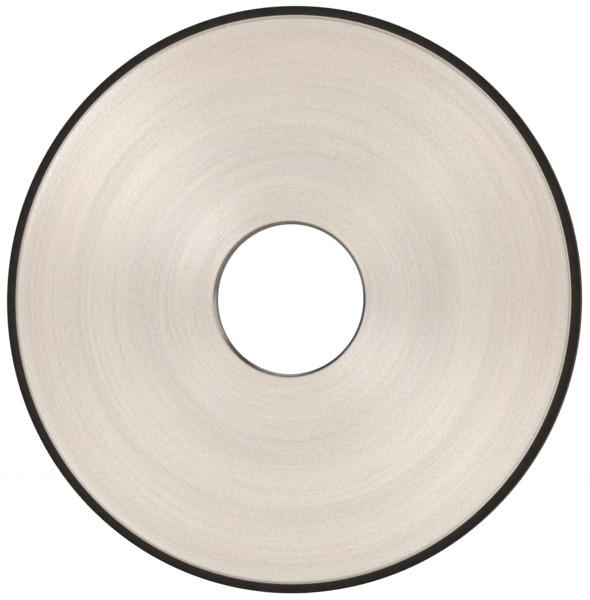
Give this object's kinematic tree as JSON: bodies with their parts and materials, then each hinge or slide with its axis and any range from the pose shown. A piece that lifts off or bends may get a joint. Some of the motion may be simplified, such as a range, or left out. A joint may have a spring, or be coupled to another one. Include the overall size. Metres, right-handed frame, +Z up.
{
  "type": "diamond grinding wheel",
  "caption": "Flat metal grinding wheel with a plain centre bore and a thin black resin and diamond rim round its edge.",
  "frame": {"origin": "centre of the wheel, on the bore's axis, halfway between its two faces", "axes": "+Y along the bore's axis, out of the back face; +Z up; the front face looks towards -Y"},
  "size_m": [0.2, 0.004, 0.2],
  "materials": {
    "turned_aluminium": "satin",
    "bond_film": "matte",
    "diamond_resin": "matte"
  },
  "bodies": {
    "root": {"core_disc": "turned_aluminium", "bond_line": "bond_film", "abrasive_rim": "diamond_resin"}
  },
  "joints": []
}
